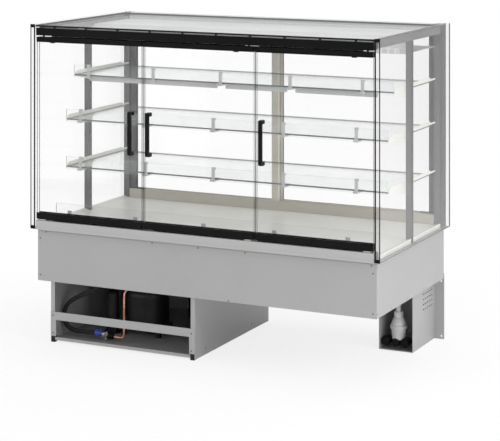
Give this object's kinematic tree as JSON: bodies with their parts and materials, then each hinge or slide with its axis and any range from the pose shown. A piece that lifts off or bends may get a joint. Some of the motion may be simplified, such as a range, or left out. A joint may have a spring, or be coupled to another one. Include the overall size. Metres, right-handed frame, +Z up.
{
  "type": "refrigerated merchandiser",
  "caption": "Drop-in refrigerated glass display case with hinged front doors, glass shelves, sliding rear doors, a cold tub and a machine box slung below.",
  "frame": {"origin": "under the middle of the whole case, on the floor plane that the feet stand on", "axes": "+X along the front to the customer's right, +Y from the customer's side to the server's side, +Z up"},
  "size_m": [1.5, 0.792, 1.272],
  "materials": {
    "stainless": "satin",
    "inner_steel": "satin",
    "clear_glass": "polished",
    "clear_plastic": "polished",
    "black_profile": "satin",
    "black_plastic": "matte",
    "grey_profile": "satin",
    "light_profile": "satin",
    "clear_spacer": "frosted",
    "cream_profile": "satin",
    "white_nylon": "matte",
    "white_coat": "satin",
    "grey_coat": "satin",
    "lamp_cover": "frosted",
    "beige_plastic": "matte",
    "galvanised": "spangled",
    "coil_fins": "satin",
    "black_coat": "gloss",
    "black_rubber": "matte",
    "copper": "satin",
    "valve_metal": "satin",
    "grey_plastic": "matte"
  },
  "bodies": {
    "case": {"tub_shell": "stainless", "top_rim": "stainless", "front_sill": "stainless", "side_glass_left": "clear_glass", "side_glass_right": "clear_glass", "side_spacers": "clear_spacer", "corner_caps": "black_plastic", "glass_top": "clear_glass", "side_rails": "grey_profile", "front_header": "black_profile", "header_pads": "black_plastic", "pivot_blocks": "white_nylon", "uprights": "grey_profile", "rear_posts": "grey_profile", "shelf_lips": "clear_plastic", "lip_clips": "grey_coat", "shelf_profile": "light_profile", "deck_plates": "white_coat", "return_grille": "inner_steel", "deck_lip": "clear_plastic", "canopy": "grey_coat", "canopy_lamp": "lamp_cover", "rear_tracks": "beige_plastic", "evaporator_coil": "coil_fins", "fan_plate": "inner_steel", "unit_frame": "galvanised", "unit_panels": "galvanised", "unit_feet": "black_rubber", "compressor": "black_coat", "receiver": "black_coat", "condenser_coil": "coil_fins", "fan_shroud": "black_coat", "suction_hose": "black_rubber", "service_valve": "valve_metal", "copper_pipe": "copper", "control_box": "stainless", "bottle_trap": "grey_plastic", "cable_glands": "black_plastic", "shelf_1_glass": "clear_glass", "shelf_1_brackets": "grey_coat", "shelf_2_glass": "clear_glass", "shelf_2_brackets": "grey_coat", "shelf_3_glass": "clear_glass", "shelf_3_brackets": "grey_coat"},
    "door_1": {"door_1_glass": "clear_glass", "door_1_rails": "black_profile", "door_1_handle": "black_plastic"},
    "door_2": {"door_2_glass": "clear_glass", "door_2_rails": "black_profile", "door_2_handle": "black_plastic"},
    "door_3": {"door_3_glass": "clear_glass", "door_3_rails": "black_profile", "door_3_handle": "black_plastic"},
    "rear_door_left": {"rear_door_left_frame": "cream_profile", "rear_door_left_glass": "clear_glass"},
    "rear_door_right": {"rear_door_right_frame": "cream_profile", "rear_door_right_glass": "clear_glass"},
    "evaporator_fan_left": {"evaporator_fan_left": "black_plastic"},
    "evaporator_fan_right": {"evaporator_fan_right": "black_plastic"},
    "condenser_fan": {"condenser_fan": "black_plastic"}
  },
  "joints": [
    {"name": "door_1_hinge", "type": "hinge", "parent": "case", "child": "door_1", "pos_m": [-0.696, -0.356, 0.8], "axis": [0, 0, 1], "range_deg": [-90, 0]},
    {"name": "door_2_hinge", "type": "hinge", "parent": "case", "child": "door_2", "pos_m": [0.213, -0.356, 0.8], "axis": [0, 0, 1], "range_deg": [0, 90]},
    {"name": "door_3_hinge", "type": "hinge", "parent": "case", "child": "door_3", "pos_m": [0.696, -0.356, 0.8], "axis": [0, 0, 1], "range_deg": [0, 90]},
    {"name": "rear_door_left_slide", "type": "slide", "parent": "case", "child": "rear_door_left", "axis": [1, 0, 0], "range_m": [0, 0.65]},
    {"name": "rear_door_right_slide", "type": "slide", "parent": "case", "child": "rear_door_right", "axis": [1, 0, 0], "range_m": [-0.65, 0]},
    {"name": "evaporator_fan_left_spin", "type": "hinge", "parent": "case", "child": "evaporator_fan_left", "pos_m": [-0.28, -0.18, 0.362], "axis": [0, 1, 0], "continuous": true},
    {"name": "evaporator_fan_right_spin", "type": "hinge", "parent": "case", "child": "evaporator_fan_right", "pos_m": [0.28, -0.18, 0.362], "axis": [0, 1, 0], "continuous": true},
    {"name": "condenser_fan_spin", "type": "hinge", "parent": "case", "child": "condenser_fan", "pos_m": [-0.196, 0.221, 0.108], "axis": [0, 1, 0], "continuous": true}
  ]
}
